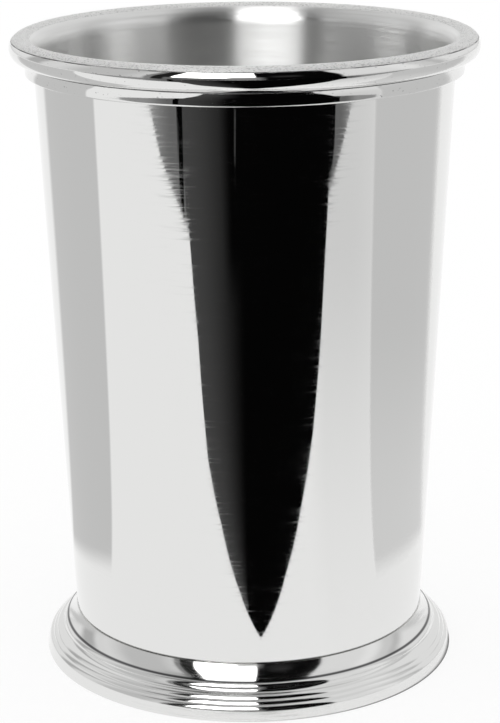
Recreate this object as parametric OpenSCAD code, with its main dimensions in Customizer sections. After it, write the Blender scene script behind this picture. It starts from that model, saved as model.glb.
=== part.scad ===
// Footed drinking cup of polished pewter, soldered up from turned and cast rings.
// The tapering wall laps over a round rim roll, a flat band stiffens it below the roll,
// and its turned-in lower edge carries the base disc and stands on a hollow moulded foot.
// Millimetres, +Z up, origin on the table under the middle of the foot.

/* [Cup] */
// Height of the cup from the table to the top of the rim
cup_h = 108; // [90:1:130]
// Radius of the rim at the widest point of its roll
rim_r = 38.9; // [36.5:0.1:43]
// Outer radius of the wall where it stands on the foot
wall_foot_r = 30.35; // [28.8:0.05:31]
// Thickness of the wall
wall_t = 1.1; // [0.9:0.05:1.3]
// How far the wall's outer face lies inside the rim's widest point at the band
wall_inset = 3.93; // [3.8:0.01:4.2]
// Radius of the rounded lower corner of the wall
wall_corner_r = 0.45; // [0.25:0.05:0.7]

/* [Rim] */
// Radius of the round section of the rim roll
roll_r = 2; // [1.8:0.05:2.2]
// Thickness of the wall where it laps over the roll
lip_t = 0.7; // [0.5:0.05:0.9]
// Angle above level at which the lapped lip ends on the outer side of the roll
lip_end = 40; // [20:1:60]
// Width of the soldered seam at the end of the lip
seam_w = 0.16; // [0.12:0.01:0.3]
// Height of the flat band below the roll
band_h = 2.2; // [1.4:0.1:3]
// How far the band's face lies inside the rim's widest point
band_inset = 2.4; // [2:0.05:2.8]
// Radius of the rounded edges of the band
band_edge_r = 0.3; // [0.15:0.05:0.45]
// Least thickness of the solder bed between the band and the roll
band_bed = 0.2; // [0.15:0.05:0.4]

/* [Base] */
// Thickness of the base disc
base_t = 1.2; // [0.8:0.1:2]
// Width of the wall's turned-in lower edge, on which the base disc lies
flange_w = 3.9; // [2.5:0.1:6]
// Leg of the solder fillet round the base disc, inside the cup
base_fillet = 1; // [0.5:0.1:1.6]
// Leg of the solder fillet under the base disc, inside the foot
foot_fillet = 0.9; // [0.5:0.1:1.2]

/* [Foot] */
// Height of the foot ring, up to the wall
foot_h = 8; // [7.5:0.1:10]
// Outer radius of the foot where it stands on the table
foot_r = 35.7; // [35:0.1:38]
// Height of the plain skirt at the bottom of the foot
skirt_h = 1.8; // [1.4:0.1:2.2]
// How far the skirt draws in towards its top
skirt_draft = 0.32; // [0.1:0.02:0.5]
// Height of the hollow neck of the foot, from the groove under it up to the wall
neck_h = 2.5; // [2.2:0.05:3]
// How far the neck spreads outwards from its top to the groove
neck_spread = 1.52; // [1.2:0.02:1.8]
// How far the neck of the foot stands proud of the wall above it
neck_proud = 0.12; // [0:0.02:0.3]
// Thickness of the foot ring's metal
foot_t = 1.35; // [1.1:0.05:1.6]
// Radius of the hollow corner inside the foot
foot_corner_r = 0.8; // [0.4:0.1:1.2]

/* [Hidden] */

// Thin capillary gap between curved faces that are soldered together
fit_gap = 0.04;
// How deep the solder of the lip seam lies below the polished surface
seam_sink = 0.05;
// How far the foot's plain sides are tucked inside its rounded beads
tuck = 0.01;
// Overrun of every cut past the metal that it cuts
over = 1;
// Smoothness of turned surfaces and of their sections
$fn = 144;

// Crease points of the stepped beads, as shares of the slope's width and height,
// from the groove under the hollow out and down to the top of the skirt
step_shares = [[0, 1], [0.2, 0.79], [0.4, 0.585], [0.6, 0.415], [0.795, 0.24], [1, 0]];
// How far each step swells out of its chord, as a share of the chord; below zero it is hollow
swell_shares = [0.13, -0.15, 0.1, 0.1, 0.135];
// How deep the neck hollows in, as a share of its chord
neck_share = 0.06;
// How deep the solder fillets hollow in, as a share of their chord
fillet_share = 0.12;

// Heights
floor_z = foot_h + wall_t;
disc_top = floor_z + base_t;
band_top = cup_h - 2 * roll_r - band_bed;
band_low = band_top - band_h;

// Wall taper: radius at the band, lean per unit of height and across the thickness
wall_rim_r = rim_r - wall_inset;
lean = (wall_rim_r - wall_foot_r) / (band_top - foot_h);
slant = sqrt(1 + lean * lean);
function wall_out(z) = wall_foot_r + lean * (z - foot_h);
function wall_in(z) = wall_out(z) - wall_t * slant;

// Rim roll: centre of its section, and the seat that the lapped lip lies on
roll_c = [rim_r - roll_r, cup_h - roll_r];
seat_r = roll_r - lip_t;
seam_deg = seam_w / roll_r * 180 / PI;
gap_deg = fit_gap / roll_r * 180 / PI;

// Foot ring radii
neck_r = wall_foot_r + neck_proud;
groove_r = neck_r + neck_spread;
groove_h = foot_h - neck_h;
skirt_top_r = foot_r - skirt_draft;
hole_r = wall_foot_r - flange_w;

function turn(a) = [cos(a), sin(a)];
// Angle, seen from centre c, at which a line from point p touches a circle of radius r on its upper left
function touch_angle(p, c, r) =
    let (d = p - c)
    atan2(d[1], d[0]) + 360 - acos(r / norm(d));
// Centre and radius of the circle through a and b that swells by s to the right of a to b
function swell_r(a, b, s) = (norm(b - a) * norm(b - a) / 4 + s * s) / (2 * s);
function swell_c(a, b, s) =
    let (along = (b - a) / norm(b - a), side = [along[1], -along[0]])
    (a + b) / 2 + side * (s - swell_r(a, b, s));

// Circle that makes one side of an outline swell out, by a share of its length
module swell(a, b, share) {
    s = norm(b - a) * share;
    translate(swell_c(a, b, s)) circle(r = swell_r(a, b, s));
}

// Wedge of the section plane between two angles about a centre
module wedge(c, from, to, reach) {
    steps = 4;
    polygon([c, for (i = [0:steps]) c + reach * turn(from + (to - from) * i / steps)]);
}

// Outer face of the wall where it flares to meet the roll, moved out by a gap
function flare_foot(gap) = [wall_rim_r + gap, band_top];
function flare_angle(gap) = touch_angle(flare_foot(gap), roll_c, seat_r - gap);
function flare_head(gap) = roll_c + (seat_r - gap) * turn(flare_angle(gap));

// Everything inside the wall's outer face, moved out by a gap
module inside_wall(gap) {
    a = flare_angle(gap);
    polygon([
        [0, foot_h],
        [wall_out(foot_h) + gap, foot_h],
        flare_foot(gap),
        flare_head(gap),
        roll_c + 2 * roll_r * turn(a),
        [0, cup_h]
    ]);
}

// Section of the wall: turned-in lower edge, taper, flare and lapped lip
module wall_section() {
    foot_in = [wall_in(floor_z), floor_z];
    head_in = [wall_in(band_top), band_top];
    lap_from = touch_angle(head_in, roll_c, roll_r);
    corner_c = [wall_out(foot_h + wall_corner_r) - wall_corner_r * slant, foot_h + wall_corner_r];
    corner_out = corner_c + wall_corner_r * [1, -lean] / slant;
    polygon([
        [hole_r, foot_h],
        [corner_c[0], foot_h],
        corner_c,
        corner_out,
        flare_foot(0),
        flare_head(0),
        roll_c + roll_r * turn(lap_from),
        head_in,
        foot_in,
        [hole_r, floor_z]
    ]);
    translate(corner_c) circle(r = wall_corner_r);
    intersection() {
        difference() {
            translate(roll_c) circle(r = roll_r);
            translate(roll_c) circle(r = seat_r);
        }
        wedge(roll_c, lip_end, flare_angle(0), 2 * roll_r);
    }
}

module cup_wall() {
    color("#C9CACB") rotate_extrude() wall_section();
}

// Flat disc laid on the wall's turned-in edge
module base_disc() {
    color("#BDBEBF")
        translate([0, 0, floor_z])
            cylinder(r = wall_in(floor_z) - fit_gap, h = base_t);
}

// Round rim bead with the rebate that takes the lapped lip
module rim_roll() {
    color("#D2D3D4") rotate_extrude() difference() {
        translate(roll_c) circle(r = roll_r);
        inside_wall(fit_gap);
        difference() {
            wedge(roll_c, lip_end - seam_deg, flare_angle(fit_gap), 2 * roll_r);
            translate(roll_c) circle(r = seat_r - fit_gap);
        }
    }
}

// Flat band under the roll, with rounded outer edges
module rim_band() {
    band_r = rim_r - band_inset;
    color("#CFD0D1") rotate_extrude() difference() {
        union() {
            translate([0, band_low]) square([band_r - band_edge_r, band_h]);
            translate([0, band_low + band_edge_r]) square([band_r, band_h - 2 * band_edge_r]);
            for (z = [band_low + band_edge_r, band_top - band_edge_r])
                translate([band_r - band_edge_r, z]) circle(r = band_edge_r);
        }
        inside_wall(fit_gap);
    }
}

// Solder sunk in the seam between the lapped lip and the roll
module lip_solder() {
    color("#6E7072") rotate_extrude() intersection() {
        difference() {
            translate(roll_c) circle(r = roll_r - seam_sink);
            translate(roll_c) circle(r = seat_r);
        }
        wedge(roll_c, lip_end - seam_deg + gap_deg, lip_end - gap_deg, 2 * roll_r);
    }
}

// Solder bed on the band, hollowed by the round of the roll
module band_solder() {
    bed_r = rim_r - band_inset - band_edge_r;
    color("#6E7072") rotate_extrude() difference() {
        translate([0, band_top]) square([bed_r, roll_r]);
        translate(roll_c) circle(r = roll_r + fit_gap);
        inside_wall(fit_gap);
    }
}

// Solder fillet round the base disc, in the corner that it makes with the wall
module base_solder() {
    corner = [wall_in(disc_top) - fit_gap, disc_top];
    on_disc = corner - [base_fillet, 0];
    on_wall = corner + [lean * base_fillet, base_fillet];
    color("#8C8E90") rotate_extrude() difference() {
        polygon([on_disc, corner, on_wall]);
        swell(on_disc, on_wall, fillet_share);
    }
}

// Solder fillet under the base disc, along the edge of the hole in the foot
module foot_solder() {
    corner = [hole_r - fit_gap, floor_z];
    on_disc = corner - [foot_fillet, 0];
    on_edge = corner - [0, foot_fillet];
    color("#8C8E90") rotate_extrude() difference() {
        polygon([on_disc, corner, on_edge]);
        swell(on_edge, on_disc, fillet_share);
    }
}

// Solid neck of the foot, hollowed between its top edge and the groove
module foot_neck() {
    top = [neck_r, foot_h];
    groove = [groove_r, groove_h];
    run_on = tuck * (top - groove) / norm(top - groove);
    rotate_extrude() difference() {
        polygon([[0, foot_h], top, groove, groove - [tuck, tuck], [0, groove_h - tuck]]);
        swell(top + run_on, groove - run_on, neck_share);
    }
}

// Solid slope of the foot: skirt and stepped beads. The plain sides are tucked a little inside
// the rounds, so that each crease is where two rounds meet
module foot_slope() {
    slope = [skirt_top_r - groove_r, groove_h - skirt_h];
    creases = [for (s = step_shares) [groove_r + s[0] * slope[0], skirt_h + s[1] * slope[1]]];
    steps = [for (i = [0:len(creases) - 2]) i];
    inward = [-slope[1], -slope[0]] / norm(slope);
    difference() {
        union() {
            rotate_extrude() polygon(concat(
                [[foot_r, 0], [0, 0], [0, groove_h], creases[0] + tuck * inward],
                [(creases[0] + creases[1]) / 2, creases[1], creases[2]],
                [for (i = [3:len(creases) - 1]) creases[i] + tuck * inward]
            ));
            for (i = steps)
                if (swell_shares[i] > 0)
                    rotate_extrude() swell(creases[i + 1], creases[i], swell_shares[i]);
        }
        for (i = steps)
            if (swell_shares[i] < 0) {
                run_on = tuck * (creases[i + 1] - creases[i]) / norm(creases[i + 1] - creases[i]);
                rotate_extrude() swell(creases[i] - run_on, creases[i + 1] + run_on, -swell_shares[i]);
            }
    }
}

// Hollow underside of the foot, which follows the slope outside at the metal's thickness
module foot_hollow() {
    top = foot_h - foot_t;
    skirt_in = foot_r - foot_t;
    slope = [skirt_top_r - groove_r, skirt_h - groove_h];
    inward = [slope[1], -slope[0]] / norm(slope);
    deepest = -min(swell_shares) * norm(slope) / len(swell_shares);
    low = [skirt_top_r, skirt_h] + inward * (foot_t + deepest);
    steep = slope[1] / slope[0];
    round_on = low + inward * foot_corner_r;
    corner_z = top - foot_corner_r;
    corner_c = [round_on[0] + (corner_z - round_on[1]) / steep, corner_z];
    polygon([
        [0, -over],
        [skirt_in, -over],
        [skirt_in, low[1] + (skirt_in - low[0]) * steep],
        corner_c - inward * foot_corner_r,
        corner_c,
        [corner_c[0], top],
        [0, top]
    ]);
    translate(corner_c) circle(r = foot_corner_r);
}

// Hollow moulded foot; its flat top carries the wall's turned-in edge
module foot_ring() {
    color("#C4C5C6") difference() {
        union() {
            foot_neck();
            foot_slope();
        }
        rotate_extrude() foot_hollow();
        translate([0, 0, -over]) cylinder(r = hole_r, h = foot_h + 2 * over);
    }
}

cup_wall();
base_disc();
rim_roll();
rim_band();
foot_ring();
lip_solder();
band_solder();
base_solder();
foot_solder();
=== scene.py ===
"""Looks of a footed drinking cup of polished pewter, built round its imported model."""

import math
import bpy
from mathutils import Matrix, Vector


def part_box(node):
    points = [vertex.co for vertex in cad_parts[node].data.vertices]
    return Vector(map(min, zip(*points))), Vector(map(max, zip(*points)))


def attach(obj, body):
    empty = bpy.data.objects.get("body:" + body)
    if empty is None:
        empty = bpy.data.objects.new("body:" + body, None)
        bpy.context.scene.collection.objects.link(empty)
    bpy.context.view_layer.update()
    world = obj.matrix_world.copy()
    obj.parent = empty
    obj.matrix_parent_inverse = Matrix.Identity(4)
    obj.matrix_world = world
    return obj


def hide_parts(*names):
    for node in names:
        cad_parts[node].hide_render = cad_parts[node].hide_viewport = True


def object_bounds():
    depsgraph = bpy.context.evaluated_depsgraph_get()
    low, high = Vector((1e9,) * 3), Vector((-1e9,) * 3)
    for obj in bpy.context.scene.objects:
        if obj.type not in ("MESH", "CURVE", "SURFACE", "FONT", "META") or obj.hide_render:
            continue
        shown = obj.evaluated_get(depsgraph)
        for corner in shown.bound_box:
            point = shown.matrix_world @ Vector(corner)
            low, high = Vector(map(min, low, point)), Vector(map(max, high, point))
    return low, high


bl_info = {
    "name": "Footed pewter cup",
    "version": (1, 0, 0),
    "blender": (4, 5, 0),
    "location": "3D View > Sidebar > Pewter cup",
    "description": "Turns the pieces of a polished pewter cup and sets up the studio round it",
    "category": "Add Mesh",
}

import bmesh
import bpy
from bpy.props import FloatProperty, FloatVectorProperty, PointerProperty
from mathutils import Matrix, Vector

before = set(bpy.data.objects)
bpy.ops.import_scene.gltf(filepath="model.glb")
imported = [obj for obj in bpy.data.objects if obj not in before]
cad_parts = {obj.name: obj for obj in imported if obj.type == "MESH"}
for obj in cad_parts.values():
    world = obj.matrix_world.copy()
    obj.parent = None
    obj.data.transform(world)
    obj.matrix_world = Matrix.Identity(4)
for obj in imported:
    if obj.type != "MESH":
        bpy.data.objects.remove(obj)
CAD_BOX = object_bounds()
BODY = "root"
MM = 0.001

# Steps round a full turn, angle per step of a rounded section, and the fewest steps of one
TURN_STEPS = 256
ARC_STEP = math.radians(9)
LEAST_ARC_STEPS = 3
# Length at both ends of a straight side that keeps its shading flat, and its greatest share
HOLD = 0.15 * MM
HOLD_SHARE = 0.25
# A crease sharper than this stays sharp in the shading
CREASE = math.radians(24)
# Points of a mesh that are closer than this are one
WELD = 0.002 * MM
# How far from the roll's round a face may lie, as a share of its radius, to be the lip's
LIP_SHARE = 0.01

# Crease points of the foot's beads, as shares of the slope's width and height,
# and how far each bead swells out of its chord; below zero it is hollow
STEP_SHARES = [(0, 1), (0.2, 0.79), (0.4, 0.585), (0.6, 0.415), (0.795, 0.24), (1, 0)]
SWELL_SHARES = [0.13, -0.15, 0.1, 0.1, 0.135]
NECK_SHARE = 0.06
FILLET_SHARE = 0.12

# Metal: range of the noise over which its marks grow from none to full, how sharply the scored
# lines stand out of them, and the turn that draws reflections out up and down the cup
MARK_RANGE = 0.3
SCORED_POWER = 3
ACROSS_THE_MARKS = 0.25
STAIN_DETAIL = 2
# Painted shade and left-over polishing compound in a recess: how far the darkening spreads, and
# the share of that within which it is full
RESIDUE_AND_SHADE_REACH = 0.36 * MM
RESIDUE_AND_SHADE_FULL_SHARE = 0.2

# Camera, in pixels of the frame of 500 by 723: its focal length, the frame's height and middle,
# and the point that it looks at; then its place and the angles that it is turned by
FOCAL_PX = 2233
FRAME_H = 723
FRAME_MIDDLE_X = 250
LOOKS_AT = (230, 361)
SENSOR_MM = 36
CAMERA_AT = Vector((0, -369 * MM, 160.5 * MM))
CAMERA_DOWN = math.radians(16.52)
CAMERA_ASIDE = math.radians(-0.45)
CAMERA_TILT = math.radians(-0.54)

# Table: radius in metres, sides, and how much of its white is even; the rest takes the shadow
TABLE_R = 6
TABLE_SIDES = 64
TABLE_EVEN = 0.8


def linear(hex_colour):
    """sRGB hex colour as linear red, green, blue and alpha."""
    values = [int(hex_colour[i:i + 2], 16) / 255 for i in (1, 3, 5)]
    return [v / 12.92 if v <= 0.04045 else ((v + 0.055) / 1.055) ** 2.4 for v in values] + [1]


def size(name, description, metres):
    return FloatProperty(name=name, description=description, default=metres, min=0,
                         unit="LENGTH", precision=5)


def colour(name, description, hex_colour):
    return FloatVectorProperty(name=name, description=description, size=4, min=0, max=1,
                               subtype="COLOR", default=linear(hex_colour))


class CupSizes(bpy.types.PropertyGroup):
    """Real sizes of the cup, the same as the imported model's where that has them.

    The inner bend of the flare, the band's crisp upper edge and its hollow, and the worn edge of
    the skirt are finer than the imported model, which has them straight, round, flat and sharp.
    """

    height: size("Height", "From the table to the top of the rim", CAD_BOX[1].z)
    rim_r: size("Rim radius", "Widest radius of the rim roll", CAD_BOX[1].x)
    wall_foot_r: size("Wall radius", "Outer radius of the wall on the foot", 30.35 * MM)
    wall_t: size("Wall", "Thickness of the wall", 1.1 * MM)
    wall_inset: size("Wall inset", "From the rim's widest point in to the wall", 3.93 * MM)
    wall_corner_r: size("Wall corner", "Radius of the wall's lower corner", 0.45 * MM)
    roll_r: size("Roll", "Radius of the rim roll's round section", 2 * MM)
    flare_r: size("Flare", "Radius of the wall's inner face where it bends out over the roll",
                  4 * MM)
    lip_t: size("Lip", "Thickness of the wall where it laps over the roll", 0.7 * MM)
    lip_end: FloatProperty(name="Lip end", description="Angle above level where the lip ends",
                           default=math.radians(40), subtype="ANGLE")
    seam_w: size("Seam", "Width of the soldered seam at the end of the lip", 0.16 * MM)
    seam_sink: size("Seam depth", "How deep the seam's solder lies", 0.05 * MM)
    band_h: size("Band height", "Height of the flat band", 2.2 * MM)
    band_inset: size("Band inset", "From the rim's widest point in to the band", 2.4 * MM)
    band_edge_r: size("Band edge", "Radius of the band's rounded lower edge", 0.3 * MM)
    band_top_r: size("Band top edge", "Radius of the band's crisper upper edge", 0.08 * MM)
    band_spread: size("Band spread", "How far the band's upper edge spreads past its middle",
                      0.12 * MM)
    band_cove_h: size("Band cove", "Height of the hollow that runs out to the upper edge",
                      1.15 * MM)
    band_bed: size("Band bed", "Least solder between the band and the roll", 0.2 * MM)
    base_t: size("Base", "Thickness of the base disc", 1.2 * MM)
    flange_w: size("Turned-in edge", "Width of the wall's turned-in edge", 3.9 * MM)
    base_fillet: size("Base fillet", "Leg of the solder fillet on the base disc", 1 * MM)
    foot_fillet: size("Foot fillet", "Leg of the solder fillet under the disc", 0.9 * MM)
    foot_h: size("Foot height", "From the table to the wall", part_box("foot_ring")[1].z)
    foot_r: size("Foot radius", "Radius of the foot on the table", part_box("foot_ring")[1].x)
    skirt_h: size("Skirt", "Height of the foot's plain skirt", 1.8 * MM)
    skirt_draft: size("Skirt draft", "How far the skirt draws in", 0.32 * MM)
    skirt_edge_r: size("Skirt edge", "Radius of the skirt's worn lower edge", 0.25 * MM)
    neck_h: size("Neck", "Height of the foot's hollow neck", 2.5 * MM)
    neck_spread: size("Neck spread", "How far the neck spreads outwards", 1.52 * MM)
    neck_proud: size("Neck step", "How far the neck stands proud of the wall", 0.12 * MM)
    foot_t: size("Foot metal", "Thickness of the foot ring's metal", 1.35 * MM)
    foot_corner_r: size("Foot corner", "Radius of the hollow corner", 0.8 * MM)
    fit_gap: size("Gap", "Capillary gap between soldered faces", 0.04 * MM)


class CupFinish(bpy.types.PropertyGroup):
    """Colours of the metal and of the studio."""

    polished: colour("Polished pewter", "Buffed outer metal", "#E3E3E2")
    satin: colour("Satin pewter", "Turned inner metal", "#E6E6E5")
    solder: colour("Solder", "Dull tin solder", "#77787A")
    # Dark of the pits and stains, and of the shade painted into the foot's groove
    residue_and_shade: colour("Residue", "Dark polishing residue left in the recesses", "#5A5A5B")
    floor: colour("Floor", "Table top and backdrop", "#FFFFFF")
    shade: colour("Shade", "Soft grey seen beside the cup", "#D4D4D4")
    beyond: colour("Beyond", "Grey past the table's front edge", "#9A9A9A")
    dark: colour("Dark", "Unlit room in front of the cup", "#050505")


def turn(angle):
    return Vector((math.cos(angle), math.sin(angle)))


def touch_angle(point, centre, radius):
    """Angle, seen from the centre, at which a line from a point touches a circle's upper left."""
    to = point - centre
    return math.atan2(to.y, to.x) + 2 * math.pi - math.acos(radius / to.length)


class Form:
    """Radii, heights and points of the section that follow from the sizes."""

    def __init__(self, sizes):
        self.s = s = sizes
        self.floor_z = s.foot_h + s.wall_t
        self.disc_top = self.floor_z + s.base_t
        self.band_top = s.height - 2 * s.roll_r - s.band_bed
        self.band_low = self.band_top - s.band_h
        self.band_r = s.rim_r - s.band_inset
        self.wall_rim_r = s.rim_r - s.wall_inset
        self.lean = (self.wall_rim_r - s.wall_foot_r) / (self.band_top - s.foot_h)
        self.slant = math.hypot(1, self.lean)
        self.roll_c = Vector((s.rim_r - s.roll_r, s.height - s.roll_r))
        self.seat_r = s.roll_r - s.lip_t
        self.seam_end = s.lip_end - s.seam_w / s.roll_r
        self.hole_r = s.wall_foot_r - s.flange_w
        self.neck_r = s.wall_foot_r + s.neck_proud
        self.groove = Vector((self.neck_r + s.neck_spread, s.foot_h - s.neck_h))
        self.skirt_top = Vector((s.foot_r - s.skirt_draft, s.skirt_h))

    def wall_out(self, z):
        return self.s.wall_foot_r + self.lean * (z - self.s.foot_h)

    def wall_in(self, z):
        return self.wall_out(z) - self.s.wall_t * self.slant

    def bend(self):
        """Centre of the bend from the inner face to the roll, and its angle at the roll."""
        s = self.s
        up = Vector((self.lean, 1)) / self.slant
        out = Vector((1, -self.lean)) / self.slant
        start = Vector((self.wall_in(0), 0)) + s.flare_r * out
        along = (self.roll_c - start).dot(up)
        off = (self.roll_c - start - along * up).length
        centre = start + (along - math.sqrt((s.flare_r - s.roll_r) ** 2 - off ** 2)) * up
        to_roll = self.roll_c - centre
        return centre, math.atan2(to_roll.y, to_roll.x)

    def flare(self, gap):
        """Foot and head of the wall's flared outer face, and the angle where it meets the seat."""
        foot = Vector((self.wall_rim_r + gap, self.band_top))
        angle = touch_angle(foot, self.roll_c, self.seat_r - gap)
        return foot, self.roll_c + (self.seat_r - gap) * turn(angle), angle

    def flare_meets(self, radius, gap):
        """Where the flared face first meets a circle round the roll's centre."""
        foot, head, _ = self.flare(gap)
        along = (head - foot).normalized()
        near = along.dot(self.roll_c - foot)
        off = (self.roll_c - foot - near * along).length
        return foot + (near - math.sqrt(radius ** 2 - off ** 2)) * along


def camera_axes():
    """The camera's right, its up and the way that it looks."""
    ahead = Vector((math.sin(CAMERA_ASIDE) * math.cos(CAMERA_DOWN),
                    math.cos(CAMERA_ASIDE) * math.cos(CAMERA_DOWN), -math.sin(CAMERA_DOWN)))
    level = Vector((math.cos(CAMERA_ASIDE), -math.sin(CAMERA_ASIDE), 0))
    upright = level.cross(ahead)
    right = math.cos(CAMERA_TILT) * level + math.sin(CAMERA_TILT) * upright
    up = math.cos(CAMERA_TILT) * upright - math.sin(CAMERA_TILT) * level
    return right, up, ahead


def mirrored_place(form, x, y):
    """Point of the table that the wall mirrors at a pixel of the frame."""
    right, up, ahead = camera_axes()
    ray = (FOCAL_PX * ahead + (x - LOOKS_AT[0]) * right - (y - LOOKS_AT[1]) * up).normalized()
    # Where the ray meets the cone of the wall, by the quadratic equation
    cone_r = form.wall_out(CAMERA_AT.z)
    square = ray.xy.length_squared - (form.lean * ray.z) ** 2
    half = CAMERA_AT.xy.dot(ray.xy) - cone_r * form.lean * ray.z
    rest = CAMERA_AT.xy.length_squared - cone_r ** 2
    on_wall = CAMERA_AT - ray * ((half + math.sqrt(half ** 2 - square * rest)) / square)
    outward = on_wall.xy.normalized()
    normal = Vector((outward.x, outward.y, -form.lean)).normalized()
    mirrored = ray - 2 * ray.dot(normal) * normal
    return (on_wall - mirrored * (on_wall.z / mirrored.z)).xy


class Pen:
    """Draws the section of a turned piece in the plane y = 0, stroke by stroke."""

    def __init__(self, r, z):
        self.bm = bmesh.new()
        self.tip = self.bm.verts.new((r, 0, z))

    @property
    def at(self):
        return Vector((self.tip.co.x, self.tip.co.z))

    def line(self, r, z):
        """Straight side, with a short piece at each end that holds its shading flat."""
        start, end = self.tip.co.copy(), Vector((r, 0, z))
        hold = min(HOLD / (end - start).length, HOLD_SHARE)
        for share in (hold, 1 - hold, 1):
            made = bmesh.ops.extrude_vert_indiv(self.bm, verts=[self.tip])
            self.tip = made["verts"][0]
            self.tip.co = start.lerp(end, share)
        return self

    def arc(self, centre, angle):
        """Arc about a centre, by an angle that is positive from outwards to upwards."""
        steps = max(LEAST_ARC_STEPS, math.ceil(abs(angle) / ARC_STEP))
        made = bmesh.ops.spin(self.bm, geom=[self.tip], cent=(centre.x, 0, centre.y),
                              axis=(0, -1, 0), angle=angle, steps=steps)
        self.tip = next(g for g in made["geom_last"] if isinstance(g, bmesh.types.BMVert))
        return self

    def swell(self, r, z, share):
        """Arc to a point that swells to the right of the way there by a share of the way."""
        start, end = self.at, Vector((r, z))
        way = end - start
        rise = way.length * share
        radius = (way.length ** 2 / 4 + rise ** 2) / (2 * rise)
        side = Vector((way.y, -way.x)).normalized()
        centre = (start + end) / 2 + side * (rise - radius)
        return self.arc(centre, 4 * math.atan(2 * share))

    def turned(self, name):
        """Spins the section into a closed piece with its creases marked."""
        bm = self.bm
        bmesh.ops.remove_doubles(bm, verts=bm.verts, dist=WELD)
        bmesh.ops.spin(bm, geom=bm.verts[:] + bm.edges[:], cent=(0, 0, 0), axis=(0, 0, 1),
                       angle=2 * math.pi, steps=TURN_STEPS, use_merge=True)
        bmesh.ops.remove_doubles(bm, verts=bm.verts, dist=WELD)
        bmesh.ops.recalc_face_normals(bm, faces=bm.faces)
        for face in bm.faces:
            face.smooth = True
        for edge in bm.edges:
            if len(edge.link_faces) != 2:
                raise RuntimeError(f"{name} has an open edge")
            edge.smooth = edge.calc_face_angle() < CREASE
        mesh = bpy.data.meshes.new(name)
        bm.to_mesh(mesh)
        bm.free()
        piece = bpy.data.objects.new(name, mesh)
        bpy.context.scene.collection.objects.link(piece)
        return piece


def place(piece, node, slot, *materials):
    """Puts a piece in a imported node's stead and gives it its finish."""
    for material in materials:
        piece.data.materials.append(material)
    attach(piece, BODY)
    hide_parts(node)


def add(tree, kind, inputs=None, **settings):
    """Adds a node; its inputs are values, or the sockets that they are linked from."""
    node = tree.nodes.new(kind)
    for name, value in settings.items():
        setattr(node, name, value)
    for name, value in (inputs or {}).items():
        if isinstance(value, bpy.types.NodeSocket):
            tree.links.new(value, node.inputs[name])
        else:
            node.inputs[name].default_value = value
    return node


def turning_marks(tree, spacing, run, detail):
    """Noise that follows the lathe: fine across the section, drawn out round the cup."""
    at = add(tree, "ShaderNodeTexCoord").outputs["Object"]
    parts = add(tree, "ShaderNodeSeparateXYZ", {0: at})
    flat = add(tree, "ShaderNodeCombineXYZ", {0: parts.outputs[0], 1: parts.outputs[1]})
    radius = add(tree, "ShaderNodeVectorMath", {0: flat.outputs[0]}, operation="LENGTH")
    scaled = []
    for socket, length in ((radius.outputs["Value"], spacing), (parts.outputs[2], spacing),
                           (parts.outputs[0], run), (parts.outputs[1], run)):
        scaled.append(add(tree, "ShaderNodeMath", {0: socket, 1: 1 / length},
                          operation="MULTIPLY").outputs[0])
    where = add(tree, "ShaderNodeCombineXYZ", {0: scaled[0], 1: scaled[1], 2: scaled[2]})
    return add(tree, "ShaderNodeTexNoise",
               {"Vector": where.outputs[0], "W": scaled[3], "Scale": 1, "Detail": detail},
               noise_dimensions="4D").outputs["Fac"]


def recess(tree, r, z):
    """How deep a point lies in the recess at a radius and a height, from 0 to 1."""
    at = add(tree, "ShaderNodeTexCoord").outputs["Object"]
    parts = add(tree, "ShaderNodeSeparateXYZ", {0: at}).outputs
    flat = add(tree, "ShaderNodeCombineXYZ", {0: parts[0], 1: parts[1]})
    radius = add(tree, "ShaderNodeVectorMath", {0: flat.outputs[0]}, operation="LENGTH")
    section = add(tree, "ShaderNodeCombineXYZ", {0: radius.outputs["Value"], 1: parts[2]})
    away = add(tree, "ShaderNodeVectorMath", {0: section.outputs[0], 1: (r, z, 0)},
               operation="DISTANCE").outputs["Value"]
    return add(tree, "ShaderNodeMapRange",
               {"Value": away, "From Min": RESIDUE_AND_SHADE_REACH,
                "From Max": RESIDUE_AND_SHADE_REACH * RESIDUE_AND_SHADE_FULL_SHARE},
               interpolation_type="SMOOTHSTEP").outputs[0]


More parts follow.
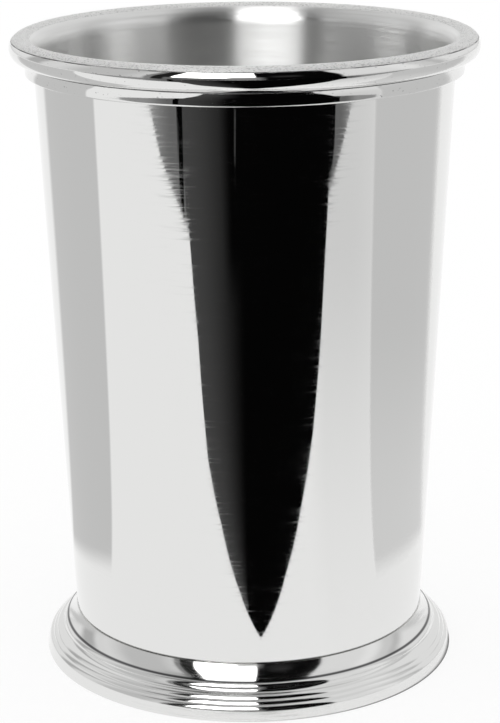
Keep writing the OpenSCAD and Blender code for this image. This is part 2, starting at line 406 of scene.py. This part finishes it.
def metal(name, tint, rough, scratched, share, bump, anisotropy, marks,
          groove=None, stains=None, scored=0):
    """Turned metal: its marks are rougher lines in a smoother surface, a few of them scored.

    The roughness goes from rough to scratched, and share is how much of the surface is marked.
    The marks give their spacing, their run round the cup and their detail. A groove is where shade
    is painted, along with polishing compound left in it; stains give their width, their run, and
    the noise where they start and are full.
    """
    material = bpy.data.materials.new(name)
    material.use_nodes = True
    tree = material.node_tree
    shader = tree.nodes["Principled BSDF"]
    lines = turning_marks(tree, *marks)
    worn = add(tree, "ShaderNodeMapRange",
               {"Value": lines, "From Min": 1 - share,
                "From Max": 1 - share + MARK_RANGE}).outputs[0]
    roughness = add(tree, "ShaderNodeMapRange",
                    {"Value": worn, "To Min": rough, "To Max": scratched})
    if scored:
        deepest = add(tree, "ShaderNodeMath", {0: worn, 1: SCORED_POWER}, operation="POWER")
        roughness = add(tree, "ShaderNodeMath", {
            0: deepest.outputs[0], 1: scored, 2: roughness.outputs[0]}, operation="MULTIPLY_ADD")
    relief = add(tree, "ShaderNodeBump",
                 {"Strength": 1, "Distance": bump, "Height": lines})
    around = add(tree, "ShaderNodeTangent", direction_type="RADIAL", axis="Z")
    shader.inputs["Base Color"].default_value = tint
    # Painted shade, with left-over polishing compound: the colour darkens near the groove
    dull = recess(tree, *groove) if groove else None
    if stains:
        across, along, start, full = stains
        dull = add(tree, "ShaderNodeMapRange", {
            "Value": turning_marks(tree, across, along, STAIN_DETAIL),
            "From Min": start, "From Max": full}).outputs[0]
    if dull:
        dulled = add(tree, "ShaderNodeMix", {
            0: dull, 6: tint, 7: bpy.context.scene.cup_finish.residue_and_shade}, data_type="RGBA")
        tree.links.new(dulled.outputs[2], shader.inputs["Base Color"])
    shader.inputs["Metallic"].default_value = 1
    shader.inputs["Anisotropic"].default_value = anisotropy
    shader.inputs["Anisotropic Rotation"].default_value = ACROSS_THE_MARKS
    tree.links.new(roughness.outputs[0], shader.inputs["Roughness"])
    tree.links.new(relief.outputs[0], shader.inputs["Normal"])
    tree.links.new(around.outputs[0], shader.inputs["Tangent"])
    return material


def finish_named(name):
    """The finish of that name, made on its first use."""
    if name in bpy.data.materials:
        return bpy.data.materials[name]
    look = bpy.context.scene.cup_finish
    # Real buffing and turning lines lie less than about 0.1 mm apart, too fine to show, so the
    # marks below are drawn coarser, 0.2 mm or more apart
    if name == "buffed_pewter":
        # Pewter turned and buffed on the lathe: nearly a mirror, whose reflections keep their
        # colour but fray at slanted edges, along the lines that the buff left
        return metal(name, look.polished, rough=0.01, scratched=0.045, share=0.65,
                     bump=0.0012 * MM, anisotropy=1.0, marks=(0.3 * MM, 5 * MM, 3), scored=0.03)
    if name == "pitted_pewter":
        # Cast pewter, turned and buffed: as bright as the wall, with a few small dark pits
        return metal(name, look.polished, rough=0.03, scratched=0.12, share=0.5,
                     bump=0.0003 * MM, anisotropy=1.0, marks=(0.2 * MM, 6 * MM, 2),
                     stains=(0.3 * MM, 0.5 * MM, 0.66, 0.82))
    if name == "worn_lip":
        # Pewter worn by use: pale and dull with a fine grain, and no clear reflection
        return metal(name, look.satin, rough=0.42, scratched=0.6, share=0.8,
                     bump=0.04 * MM, anisotropy=0.3, marks=(0.22 * MM, 0.5 * MM, 3),
                     stains=(0.18 * MM, 0.35 * MM, 0.5, 0.95))
    if name == "moulded_pewter":
        # Cast and buffed pewter: softer reflections than the wall's, with painted shade and
        # left-over polishing compound darkening the groove under the neck, where the buff doesn't
        # reach
        return metal(name, look.polished, rough=0.08, scratched=0.18, share=0.5,
                     bump=0.0003 * MM, anisotropy=1.0, marks=(0.2 * MM, 5 * MM, 2),
                     groove=Form(bpy.context.scene.cup_sizes).groove)
    if name == "turned_pewter":
        # Pewter left as turned: satin, with blurred reflections drawn out across its fine rings
        return metal(name, look.satin, rough=0.28, scratched=0.42, share=0.6,
                     bump=0.004 * MM, anisotropy=1.0, marks=(0.4 * MM, 20 * MM, 3))
    if name == "buffed_solder":
        # Solder buffed along with the metal beside it: bright, with dull stretches
        return metal(name, look.polished, rough=0.2, scratched=0.5, share=0.5,
                     bump=0.01 * MM, anisotropy=0.2, marks=(0.3 * MM, 2 * MM, 3),
                     stains=(2 * MM, 6 * MM, 0.45, 0.55))
    if name == "tin_solder":
        # Tin solder as it set: a dull, darker grey
        return metal(name, look.solder, rough=0.4, scratched=0.6, share=0.5,
                     bump=0.003 * MM, anisotropy=0.2, marks=(0.3 * MM, 1 * MM, 3))
    raise RuntimeError(f"no finish is named {name}")


class CUP_OT_wall(bpy.types.Operator):
    """Tapering wall with its turned-in lower edge and the lip that laps over the rim roll"""

    bl_idname = "cup.wall"
    bl_label = "Wall"

    def execute(self, context):
        form = Form(context.scene.cup_sizes)
        s = form.s
        foot, head, angle = form.flare(0)
        corner = Vector((form.wall_out(s.foot_h + s.wall_corner_r)
                         - s.wall_corner_r * form.slant, s.foot_h + s.wall_corner_r))
        bend, lap_from = form.bend()
        pen = Pen(form.hole_r, s.foot_h)
        pen.line(corner.x, s.foot_h)
        pen.arc(corner, math.pi / 2 - math.atan(form.lean))
        pen.line(*foot).line(*head)
        pen.arc(form.roll_c, s.lip_end - angle)
        pen.line(*(form.roll_c + s.roll_r * turn(s.lip_end)))
        pen.arc(form.roll_c, lap_from - s.lip_end)
        pen.arc(bend, math.pi - math.atan(form.lean) - lap_from)
        pen.line(form.wall_in(form.floor_z), form.floor_z)
        pen.line(form.hole_r, form.floor_z).line(form.hole_r, s.foot_h)
        piece = pen.turned("cup_wall_turned")
        place(piece, "cup_wall", "polished_pewter",
              finish_named("buffed_pewter"), finish_named("turned_pewter"),
              finish_named("worn_lip"))
        for face in piece.data.polygons:
            section = Vector((face.center.xy.length, face.center.z))
            on_lip = abs((section - form.roll_c).length - s.roll_r) < LIP_SHARE * s.roll_r
            inside = face.normal.xy.dot(face.center.xy) < 0 or face.center.z > form.band_top
            face.material_index = 2 if on_lip else int(inside)
        return {"FINISHED"}


class CUP_OT_base(bpy.types.Operator):
    """Disc that closes the cup, laid on the wall's turned-in edge"""

    bl_idname = "cup.base"
    bl_label = "Base disc"

    def execute(self, context):
        form = Form(context.scene.cup_sizes)
        edge = form.wall_in(form.floor_z) - form.s.fit_gap
        pen = Pen(0, form.floor_z)
        pen.line(edge, form.floor_z).line(edge, form.disc_top).line(0, form.disc_top)
        piece = pen.turned("base_disc_turned")
        place(piece, "base_disc", "satin_pewter", finish_named("turned_pewter"))
        return {"FINISHED"}


class CUP_OT_roll(bpy.types.Operator):
    """Round rim bead with the rebate that takes the lapped lip"""

    bl_idname = "cup.roll"
    bl_label = "Rim roll"

    def execute(self, context):
        form = Form(context.scene.cup_sizes)
        s = form.s
        angle = form.flare(s.fit_gap)[2]
        low = form.flare_meets(s.roll_r, s.fit_gap)
        low_angle = math.atan2(low.y - form.roll_c.y, low.x - form.roll_c.x)
        pen = Pen(*low)
        pen.arc(form.roll_c, form.seam_end - low_angle)
        pen.line(*(form.roll_c + (form.seat_r - s.fit_gap) * turn(form.seam_end)))
        pen.arc(form.roll_c, angle - form.seam_end)
        pen.line(*low)
        piece = pen.turned("rim_roll_turned")
        place(piece, "rim_roll", "polished_pewter", finish_named("pitted_pewter"))
        return {"FINISHED"}


class CUP_OT_band(bpy.types.Operator):
    """Band under the roll, slightly hollow, with a round lower and a crisp upper edge"""

    bl_idname = "cup.band"
    bl_label = "Rim band"

    def execute(self, context):
        form = Form(context.scene.cup_sizes)
        s = form.s
        low = Vector((form.band_r - s.band_spread, form.band_low + s.band_edge_r))
        high = Vector((form.band_r + s.band_spread, form.band_top - s.band_top_r))
        low_in = Vector((form.wall_out(form.band_low) + s.fit_gap, form.band_low))
        pen = Pen(*low_in)
        pen.line(low.x - s.band_edge_r, form.band_low)
        pen.arc(low - Vector((s.band_edge_r, 0)), math.pi / 2)
        cove_foot = Vector((low.x, high.y - s.band_cove_h))
        half_bend = math.atan2(high.x - low.x, s.band_cove_h)
        pen.line(*cove_foot).swell(*high, -math.tan(half_bend / 2) / 2)
        pen.arc(high - Vector((s.band_top_r, 0)), math.pi / 2)
        pen.line(form.wall_rim_r + s.fit_gap, form.band_top).line(*low_in)
        piece = pen.turned("rim_band_turned")
        place(piece, "rim_band", "polished_pewter", finish_named("pitted_pewter"))
        return {"FINISHED"}


class CUP_OT_foot(bpy.types.Operator):
    """Hollow moulded foot: neck, groove, beads, cove and skirt"""

    bl_idname = "cup.foot"
    bl_label = "Foot ring"

    def execute(self, context):
        form = Form(context.scene.cup_sizes)
        s, groove = form.s, form.groove
        slope = form.skirt_top - groove
        inward = Vector((slope.y, -slope.x)).normalized()
        top = s.foot_h - s.foot_t
        skirt_in = s.foot_r - s.foot_t
        deepest = -min(SWELL_SHARES) * slope.length / len(SWELL_SHARES)
        low = form.skirt_top + inward * (s.foot_t + deepest)
        steep = slope.y / slope.x
        round_on = low + inward * s.foot_corner_r
        corner_z = top - s.foot_corner_r
        corner = Vector((round_on.x + (corner_z - round_on.y) / steep, corner_z))
        pen = Pen(form.hole_r, s.foot_h)
        pen.line(form.neck_r, s.foot_h).swell(*groove, NECK_SHARE)
        for (across, down), share in zip(STEP_SHARES[1:], SWELL_SHARES):
            pen.swell(groove.x + across * slope.x, s.skirt_h - down * slope.y, -share)
        edge_r = s.skirt_edge_r
        edge = Vector((s.foot_r - s.skirt_draft * edge_r / s.skirt_h - edge_r, edge_r))
        pen.line(edge.x + edge_r, edge_r).arc(edge, -math.pi / 2).line(skirt_in, 0)
        pen.line(skirt_in, low.y + (skirt_in - low.x) * steep)
        pen.line(*(corner - inward * s.foot_corner_r))
        pen.arc(corner, math.pi / 2 - math.atan2(-inward.y, -inward.x))
        pen.line(form.hole_r, top).line(form.hole_r, s.foot_h)
        piece = pen.turned("foot_ring_turned")
        place(piece, "foot_ring", "polished_pewter", finish_named("moulded_pewter"))
        return {"FINISHED"}


class CUP_OT_solder(bpy.types.Operator):
    """The four rings of solder: lip seam, band bed, and the fillets above and under the disc"""

    bl_idname = "cup.solder"
    bl_label = "Solder"

    def execute(self, context):
        form = Form(context.scene.cup_sizes)
        s = form.s
        gap = s.fit_gap / s.roll_r
        seam_r = s.roll_r - s.seam_sink
        lip = Pen(*(form.roll_c + form.seat_r * turn(form.seam_end + gap)))
        lip.line(*(form.roll_c + seam_r * turn(form.seam_end + gap)))
        lip.arc(form.roll_c, s.seam_w / s.roll_r - 2 * gap)
        lip.line(*(form.roll_c + form.seat_r * turn(s.lip_end - gap)))
        lip.arc(form.roll_c, 2 * gap - s.seam_w / s.roll_r)

        bed_r = form.band_r - s.band_edge_r
        reach = s.roll_r + s.fit_gap
        meets = form.flare_meets(reach, s.fit_gap)
        from_angle = math.acos((bed_r - form.roll_c.x) / reach)
        rise = reach * math.sin(from_angle)
        bed = Pen(form.wall_rim_r + s.fit_gap, form.band_top)
        bed.line(bed_r, form.band_top).line(bed_r, form.roll_c.y - rise)
        meets_angle = math.atan2(form.roll_c.y - meets.y, meets.x - form.roll_c.x)
        bed.arc(form.roll_c, from_angle - meets_angle)
        bed.line(form.wall_rim_r + s.fit_gap, form.band_top)

        corner = Vector((form.wall_in(form.disc_top) - s.fit_gap, form.disc_top))
        above = Pen(corner.x - s.base_fillet, corner.y)
        above.line(*corner)
        above.line(corner.x + form.lean * s.base_fillet, corner.y + s.base_fillet)
        above.swell(corner.x - s.base_fillet, corner.y, -FILLET_SHARE)

        corner = Vector((form.hole_r - s.fit_gap, form.floor_z))
        under = Pen(corner.x - s.foot_fillet, corner.y)
        under.line(*corner).line(corner.x, corner.y - s.foot_fillet)
        under.swell(corner.x - s.foot_fillet, corner.y, FILLET_SHARE)

        for node, pen, finish in (
                ("lip_solder", lip, "buffed_solder"), ("band_solder", bed, "tin_solder"),
                ("base_solder", above, "tin_solder"), ("foot_solder", under, "tin_solder")):
            place(pen.turned(node + "_run"), node, "solder", finish_named(finish))
        return {"FINISHED"}


def glow(name, tint):
    """Surface of even brightness, for a card that only reflections see."""
    material = bpy.data.materials.new(name)
    material.use_nodes = True
    material.cycles.emission_sampling = "NONE"
    tree = material.node_tree
    tree.nodes.clear()
    light = add(tree, "ShaderNodeEmission", {"Color": tint, "Strength": 1})
    add(tree, "ShaderNodeOutputMaterial", {"Surface": light.outputs[0]})
    return material


def card(name, corners, material):
    """Flat card that only reflections see."""
    bm = bmesh.new()
    bmesh.ops.contextual_create(bm, geom=[bm.verts.new(c) for c in corners])
    mesh = bpy.data.meshes.new(name)
    bm.to_mesh(mesh)
    bm.free()
    piece = bpy.data.objects.new(name, mesh)
    bpy.context.scene.collection.objects.link(piece)
    piece.data.materials.append(material)
    for ray in ("camera", "diffuse", "transmission", "shadow", "volume_scatter"):
        setattr(piece, "visible_" + ray, False)


def product(tree, sockets):
    """Product of several values."""
    result = sockets[0]
    for socket in sockets[1:]:
        result = add(tree, "ShaderNodeMath", {0: result, 1: socket},
                     operation="MULTIPLY").outputs[0]
    return result


def soft_steps(tree, *edges):
    """Product of soft steps; each is a socket and where its step starts and ends."""
    return product(tree, [
        add(tree, "ShaderNodeMapRange", {"Value": socket, "From Min": low, "From Max": high},
            interpolation_type="SMOOTHSTEP").outputs[0] for socket, low, high in edges])


def shade_material(name, tint, centre, angles, reaches):
    """Grey that fades in and out by the direction and the distance from a point in the plane.

    The centre is a place on the y axis. The angles, in degrees to the right of straight ahead,
    are where the grey starts, is full, starts to fade and is gone; the reaches, in millimetres,
    are where it starts and is full.
    """
    material = bpy.data.materials.new(name)
    material.use_nodes = True
    material.cycles.emission_sampling = "NONE"
    tree = material.node_tree
    tree.nodes.clear()
    at = add(tree, "ShaderNodeTexCoord").outputs["Object"]
    moved = add(tree, "ShaderNodeMapping", {"Vector": at, "Location": (0, -centre * MM, 0)})
    parts = add(tree, "ShaderNodeSeparateXYZ", {0: moved.outputs[0]})
    ahead = add(tree, "ShaderNodeMath", {0: parts.outputs[1], 1: -1}, operation="MULTIPLY")
    side = add(tree, "ShaderNodeMath", {0: parts.outputs[0], 1: ahead.outputs[0]},
               operation="ARCTAN2").outputs[0]
    reach = add(tree, "ShaderNodeVectorMath", {0: moved.outputs[0]},
                operation="LENGTH").outputs["Value"]
    start, full, fade, gone = map(math.radians, angles)
    cover = soft_steps(tree, (side, start, full), (side, gone, fade),
                       (reach, reaches[0] * MM, reaches[1] * MM))
    light = add(tree, "ShaderNodeEmission", {"Color": tint, "Strength": 1})
    clear = add(tree, "ShaderNodeBsdfTransparent")
    mixed = add(tree, "ShaderNodeMixShader",
                {0: cover, 1: clear.outputs[0], 2: light.outputs[0]})
    add(tree, "ShaderNodeOutputMaterial", {"Surface": mixed.outputs[0]})
    return material


# Grey of the room where none of its parts lies
ROOM_GREY = "#DEDEDE"
# Parts of the room that the cup mirrors, each over the ones before it: colour, strength,
# azimuths to the right of the camera's side and elevations in degrees, and softness of the edges
ROOM = [
    ("#D2D2D2", 1, (125, 235), (-90, 90), 15),
    ("#F0F0F0", 1, (46, 90), (4, 52), 14),
    ("#FAFAFA", 1, (79, 91), (0, 52), 12),
    ("#C0C0C0", 1, (104, 134), (-90, 40), 10),
    ("#BEBEBE", 1, (-400, 400), (54, 100), 5),
    ("#F4F4F4", 1, (110, 250), (0, 88), 12),
    ("#CECECE", 1, (-88, -56), (0, 52), 12),
    ("#ECECEC", 1, (-110, -96), (0, 52), 14),
    ("#BCBCBC", 1, (-128, -114), (0, 72), 8),
    ("#E6E6E6", 1, (50, 130), (46, 80), 14),
    ("#D8D8D8", 1, (-130, -60), (46, 80), 14),
    ("#8C8C8C", 1, (-84, -30), (48, 76), 14),
    ("#8A8A8A", 1, (-49, -42), (-90, 60), 3),
    ("#242424", 1, (-45, 5), (-90, 60), 1.5),
    ("#080808", 1, (2, 47), (-90, 67), 3),
    ("#303030", 1, (14, 27), (20, 33), 8),
    ("#707070", 1, (-39, 1), (-2, 16), 2),
    ("#FFFFFF", 4.5, (-35.5, 5), (16, 58), 2),
    ("#8C8C8C", 1, (-9, 8), (-2, 23), 7),
]

# Edges of what the wall mirrors, as pixels of the frame from the bottom up: both sides of the
# dark area, the outer side of the stripe along its left, where that starts, and the thin line
DARK_LEFT = [(261, 641), (240, 595), (222, 530), (208, 461), (198, 341), (190, 245), (186, 210),
             (183.5, 170), (182, 111)]
DARK_RIGHT = [(275.5, 611), (286, 576), (301.5, 507), (313, 433), (320, 350), (325, 258),
              (329, 185), (332.5, 165), (334.5, 145), (335.5, 111)]
STRIPE_LEFT = [(184.5, 225), (179.5, 190), (178, 170), (177.5, 150), (177.5, 111)]
STRIPE_FOOT = (190, 245)
SILL = [(234, 165), (234, 110), (236, 109), (235.5, 166)]
# Front edge of the table, from its right end to its left, in the same pixels
TABLE_FRONT = [(350, 111), (324.5, 206), (188, 230), (177.5, 202), (160, 155), (151, 113)]
# Beyond the band these areas run on to a far line, at these azimuths in degrees
FAR = 5100 * MM
DARK_AZIMUTHS = (-33.8, 47.7)
STRIPE_AZIMUTH = -36.4
# Corners in millimetres of the grey past the table, and of the black within the dark area
PAST_CORNERS = [(-5000, -300), (-5000, -5200), (5600, -5200), (5000, -300)]
BLACK = [(-45, -200), (-90, -280), (-135, -390), (-2000, -5100), (5500, -5050),
         (290, -272), (200, -215), (40, -200)]
# Tip of the dark area on the y axis, in millimetres, from which its shades fan out
FAN_Y = -64
# Angles and reaches of a shade that is full all round
ALL_ROUND = (-180, -170, 170, 180)
ANY_REACH = (-2, -1)
# Half the width of a side shade's card, in metres; half the width and the height of the card
# of painted contact shadow round the foot, in millimetres
SHADE_HALF_W = 2
CONTACT_SHADOW_HALF_W = 50
CONTACT_SHADOW_LEVEL = 0.09


def far_place(azimuth):
    """Point of the far line at an azimuth in degrees."""
    return Vector((math.tan(math.radians(azimuth)) * FAR, -FAR))


class CUP_OT_stage(bpy.types.Operator):
    """Pale table, soft light, dark cards for the reflections, and the camera"""

    bl_idname = "cup.stage"
    bl_label = "Studio"

    def execute(self, context):
        scene = context.scene
        look = scene.cup_finish
        self.room(scene, look)
        self.table(scene, look)
        self.cards(look, Form(scene.cup_sizes))
        self.camera(scene)
        return {"FINISHED"}

    def room(self, scene, look):
        """White for the eye; for the metal a room with a window, a dark side and a ceiling."""
        world = bpy.data.worlds.new("soft_room")
        world.use_nodes = True
        world.cycles.sampling_method = "NONE"
        scene.world = world
        tree = world.node_tree
        at = add(tree, "ShaderNodeTexCoord").outputs["Generated"]
        parts = add(tree, "ShaderNodeSeparateXYZ", {0: at}).outputs
        ahead = add(tree, "ShaderNodeMath", {0: parts[1], 1: -1}, operation="MULTIPLY")
        side = add(tree, "ShaderNodeMath", {0: parts[0], 1: ahead.outputs[0]},
                   operation="ARCTAN2").outputs[0]
        rise = add(tree, "ShaderNodeMath", {0: parts[2]}, operation="ARCSINE").outputs[0]
        seen = None
        for tint, strength, sides, rises, soft in ROOM:
            half = soft / 2
            span = math.radians(sides[1] - sides[0])
            # Azimuth from the part's left edge, from 0 to a full turn
            turned = add(tree, "ShaderNodeMath", {
                0: add(tree, "ShaderNodeMath", {0: side, 1: math.radians(sides[0] - soft)},
                       operation="SUBTRACT").outputs[0],
                1: 2 * math.pi}, operation="FLOORED_MODULO").outputs[0]
            soft_angle = math.radians(soft)
            cover = soft_steps(
                tree, (turned, soft_angle / 2, soft_angle * 3 / 2),
                (turned, span + soft_angle * 3 / 2, span + soft_angle / 2),
                (rise, math.radians(rises[0] - half), math.radians(rises[0] + half)),
                (rise, math.radians(rises[1] + half), math.radians(rises[1] - half)))
            lit = [c * strength for c in linear(tint)[:3]] + [1]
            under = seen or linear(ROOM_GREY)
            seen = add(tree, "ShaderNodeMix", {0: cover, 6: under, 7: lit},
                       data_type="RGBA").outputs[2]
        rays = add(tree, "ShaderNodeLightPath").outputs
        plain = add(tree, "ShaderNodeMath", {0: rays["Is Camera Ray"], 1: rays["Is Diffuse Ray"]},
                    operation="MAXIMUM").outputs[0]
        shown = add(tree, "ShaderNodeMix", {0: plain, 6: seen, 7: look.floor},
                    data_type="RGBA").outputs[2]
        background = tree.nodes["Background"]
        background.inputs["Strength"].default_value = 1
        tree.links.new(shown, background.inputs["Color"])

    def table(self, scene, look):
        """White table, which keeps some of the cup's shadow."""
        bm = bmesh.new()
        bmesh.ops.create_circle(bm, cap_ends=True, radius=TABLE_R, segments=TABLE_SIDES)
        mesh = bpy.data.meshes.new("table")
        bm.to_mesh(mesh)
        bm.free()
        table = bpy.data.objects.new("table", mesh)
        scene.collection.objects.link(table)
        material = bpy.data.materials.new("white_table")
        material.use_nodes = True
        material.cycles.emission_sampling = "NONE"
        tree = material.node_tree
        tree.nodes.clear()
        rays = add(tree, "ShaderNodeLightPath")
        direct = add(tree, "ShaderNodeMath", {0: rays.outputs["Is Camera Ray"], 1: TABLE_EVEN},
                     operation="MULTIPLY")
        mirrored = add(tree, "ShaderNodeMath", {0: rays.outputs["Is Glossy Ray"],
                                                1: rays.outputs["Is Transmission Ray"]},
                       operation="MAXIMUM")
        even = add(tree, "ShaderNodeMath", {0: direct.outputs[0], 1: mirrored.outputs[0]},
                   operation="MAXIMUM")
        paper = add(tree, "ShaderNodeBsdfDiffuse", {"Color": look.floor})
        light = add(tree, "ShaderNodeEmission", {"Color": look.floor, "Strength": 1})
        mixed = add(tree, "ShaderNodeMixShader",
                    {0: even.outputs[0], 1: paper.outputs[0], 2: light.outputs[0]})
        add(tree, "ShaderNodeOutputMaterial", {"Surface": mixed.outputs[0]})
        mesh.materials.append(material)

    def cards(self, look, form):
        """Cards that the metal mirrors, each at its own height so that none cuts another."""
        dark_left, dark_right, stripe_left, sill, front = (
            [mirrored_place(form, *pixel) for pixel in edge]
            for edge in (DARK_LEFT, DARK_RIGHT, STRIPE_LEFT, SILL, TABLE_FRONT))
        far_left, far_right = (far_place(azimuth) for azimuth in DARK_AZIMUTHS)
        dark_area = [*dark_left, far_left, far_right, *reversed(dark_right)]
        stripe = [*dark_left[DARK_LEFT.index(STRIPE_FOOT):], far_left, far_place(STRIPE_AZIMUTH),
                  *reversed(stripe_left)]
        past_area = [*(Vector(corner) * MM for corner in PAST_CORNERS), *front]
        black_area = [Vector(corner) * MM for corner in BLACK]

        dark = glow("unlit", look.dark)
        # Painted light: a grey that lifts the unlit area on its left side, fading out towards its
        # middle
        haze = shade_material("haze", linear("#484848"), FAN_Y, (-180, -170, -40, 0), ANY_REACH)
        black = shade_material("unlit_edge", look.dark, FAN_Y, (-17, -8, 170, 180), (140, 200))
        past = shade_material("past_table", look.beyond, 0, ALL_ROUND, ANY_REACH)
        near_past = shade_material("past_table_dim", linear("#6C6C6C"), 0,
                                   (-52, -37, 50, 58), ANY_REACH)
        # Name, corners, height in millimetres and material
        for name, corners, level, material in (
                ("past_table", past_area, 0.3, past),
                ("past_table_dim", past_area, 0.5, near_past),
                ("dark_stripe", stripe, 0.6, dark),
                ("dark_floor", dark_area, 0.7, dark),
                ("haze_floor", dark_area, 0.9, haze),
                ("black_floor", black_area, 1.1, black),
                ("sill_floor", sill, 1.3, glow("sill", linear("#3C3C3C")))):
            card(name, [(corner.x, corner.y, level * MM) for corner in corners], material)
        # Name, height in millimetres, colour, and the centre, angles and reaches of the shade
        for name, level, tint, centre, angles, reaches in (
                ("shade_front", 0.12, linear("#E2E2E2"), 0, (30, 44, 56, 110), (20, 280)),
                ("shade_left", 0.15, look.shade, -9.5, (-142, -135, -88.5, -86.5), (64, 76)),
                ("shade_right", 0.18, linear("#E2E2E2"), 0, (71, 73, 122, 134), (64, 76)),
                ("shade_right_far", 0.21, look.shade, 0, (71, 73, 122, 134), (80, 220))):
            edge = math.copysign(SHADE_HALF_W, sum(angles))
            card(name, [(x, y, level * MM) for x, y in (
                (0, -SHADE_HALF_W), (edge, -SHADE_HALF_W), (edge, SHADE_HALF_W),
                (0, SHADE_HALF_W))], shade_material(name, tint, centre, angles, reaches))
        # Painted contact shadow: a dark ring on the table round the foot's right and back, which
        # the skirt's lower edge mirrors as a dark line
        card("foot_contact_shadow", [
            (x * CONTACT_SHADOW_HALF_W * MM, y * CONTACT_SHADOW_HALF_W * MM, CONTACT_SHADOW_LEVEL * MM)
            for x, y in ((-1, -1), (1, -1), (1, 1), (-1, 1))],
             shade_material("contact", linear("#707070"), 0, (-10, 50, 140, 175), (37, 35.7)))

    def camera(self, scene):
        """Camera with the photograph's place, angle and framing."""
        data = bpy.data.cameras.new("camera")
        data.sensor_width = SENSOR_MM
        data.lens = SENSOR_MM * FOCAL_PX / FRAME_H
        data.shift_x = (FRAME_MIDDLE_X - LOOKS_AT[0]) / FRAME_H
        camera = bpy.data.objects.new("camera", data)
        scene.collection.objects.link(camera)
        right, up, ahead = camera_axes()
        turned = Matrix((right, up, -ahead)).transposed().to_4x4()
        camera.matrix_world = Matrix.Translation(CAMERA_AT) @ turned
        scene.camera = camera
        scene.view_settings.view_transform = "Standard"


OPERATORS = (CUP_OT_stage, CUP_OT_wall, CUP_OT_base, CUP_OT_roll, CUP_OT_band, CUP_OT_foot,
             CUP_OT_solder)


class CUP_PT_pieces(bpy.types.Panel):
    """Sizes and colours of the cup, and a button for each of its pieces"""

    bl_idname = "CUP_PT_pieces"
    bl_label = "Pewter cup"
    bl_space_type = "VIEW_3D"
    bl_region_type = "UI"
    bl_category = "Pewter cup"

    def draw(self, context):
        for group in (context.scene.cup_sizes, context.scene.cup_finish):
            column = self.layout.column(align=True)
            for name in group.__annotations__:
                column.prop(group, name)
        for operator in OPERATORS:
            self.layout.operator(operator.bl_idname)


CLASSES = (CupSizes, CupFinish, *OPERATORS, CUP_PT_pieces)


def register():
    for cls in CLASSES:
        bpy.utils.register_class(cls)
    bpy.types.Scene.cup_sizes = PointerProperty(type=CupSizes)
    bpy.types.Scene.cup_finish = PointerProperty(type=CupFinish)


def unregister():
    del bpy.types.Scene.cup_finish
    del bpy.types.Scene.cup_sizes
    for cls in reversed(CLASSES):
        bpy.utils.unregister_class(cls)


def main():
    register()
    for operator in OPERATORS:
        group, name = operator.bl_idname.split(".")
        getattr(getattr(bpy.ops, group), name)()


if __name__ == "__main__":
    main()
